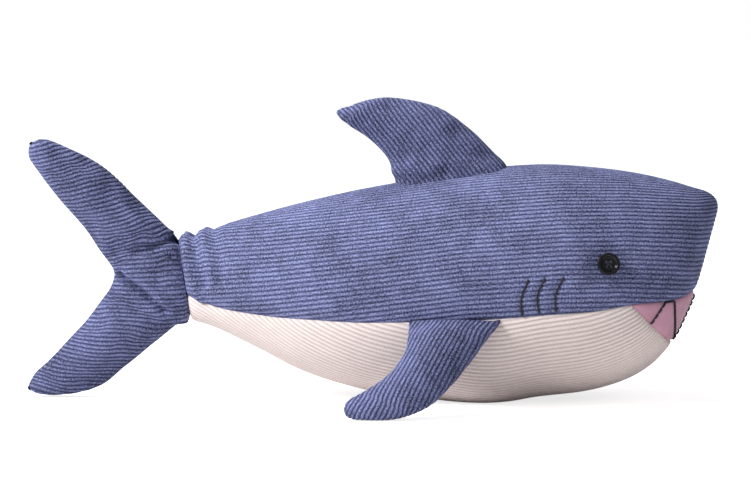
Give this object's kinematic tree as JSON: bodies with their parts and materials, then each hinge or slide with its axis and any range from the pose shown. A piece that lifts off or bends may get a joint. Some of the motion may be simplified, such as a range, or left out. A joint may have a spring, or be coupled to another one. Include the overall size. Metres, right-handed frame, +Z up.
{
  "type": "plush shark",
  "caption": "Stuffed corduroy shark with a swept back fin, side fins, a forked tail, button eyes, embroidered gills and a pink mouth with stitched teeth.",
  "frame": {"origin": "centre of the bounding box's bottom face, under the belly, on the surface the shark rests on", "axes": "+X towards the snout, +Z up, the shark's right side is at -Y"},
  "size_m": [0.3677, 0.1816, 0.1598],
  "materials": {
    "blue_corduroy": "11-wale corduroy with a soft pile",
    "cream_corduroy": "11-wale corduroy, cream",
    "pink_cotton": "smooth woven cotton",
    "stuffing_fibre": "polyester fibre fill",
    "dark_thread": "embroidery thread",
    "black_button": "glossy"
  },
  "bodies": {
    "body": {"side_panel_right": "blue_corduroy", "side_panel_left": "blue_corduroy", "belly_panel": "cream_corduroy", "mouth_panel": "pink_cotton", "body_stuffing": "stuffing_fibre", "eye_button_right": "black_button", "eye_button_left": "black_button", "eye_thread": "dark_thread", "teeth_stitching": "dark_thread", "gill_stitch_right_front": "dark_thread", "gill_stitch_right_middle": "dark_thread", "gill_stitch_right_rear": "dark_thread", "gill_stitch_left_front": "dark_thread", "gill_stitch_left_middle": "dark_thread", "gill_stitch_left_rear": "dark_thread"},
    "back_fin": {"back_fin_right_panel": "blue_corduroy", "back_fin_left_panel": "blue_corduroy", "back_fin_stuffing": "stuffing_fibre"},
    "side_fin_right": {"side_fin_right_top_panel": "blue_corduroy", "side_fin_right_under_panel": "blue_corduroy", "side_fin_right_stuffing": "stuffing_fibre"},
    "side_fin_left": {"side_fin_left_top_panel": "blue_corduroy", "side_fin_left_under_panel": "blue_corduroy", "side_fin_left_stuffing": "stuffing_fibre"},
    "tail_fin": {"tail_fin_right_panel": "blue_corduroy", "tail_fin_left_panel": "blue_corduroy", "tail_fin_stuffing": "stuffing_fibre"}
  },
  "joints": [
    {"name": "tail_swing", "type": "hinge", "parent": "body", "child": "tail_fin", "pos_m": [-0.108, 0, 0.065], "axis": [0, 0, 1], "range_deg": [-38, 38], "stiffness_Nm_per_rad": 0.05},
    {"name": "back_fin_fold", "type": "hinge", "parent": "body", "child": "back_fin", "pos_m": [0.0402, 0, 0.1259], "axis": [0.988, 0, 0.1546], "range_deg": [-60, 60], "stiffness_Nm_per_rad": 0.03},
    {"name": "side_fin_right_lift", "type": "hinge", "parent": "body", "child": "side_fin_right", "pos_m": [0.042, -0.0628, 0.0452], "axis": [-0.9962, 0.0872, 0], "range_deg": [-20, 100], "stiffness_Nm_per_rad": 0.03},
    {"name": "side_fin_left_lift", "type": "hinge", "parent": "body", "child": "side_fin_left", "pos_m": [0.042, 0.0628, 0.0452], "axis": [0.9962, 0.0872, 0], "range_deg": [-20, 100], "stiffness_Nm_per_rad": 0.03}
  ]
}
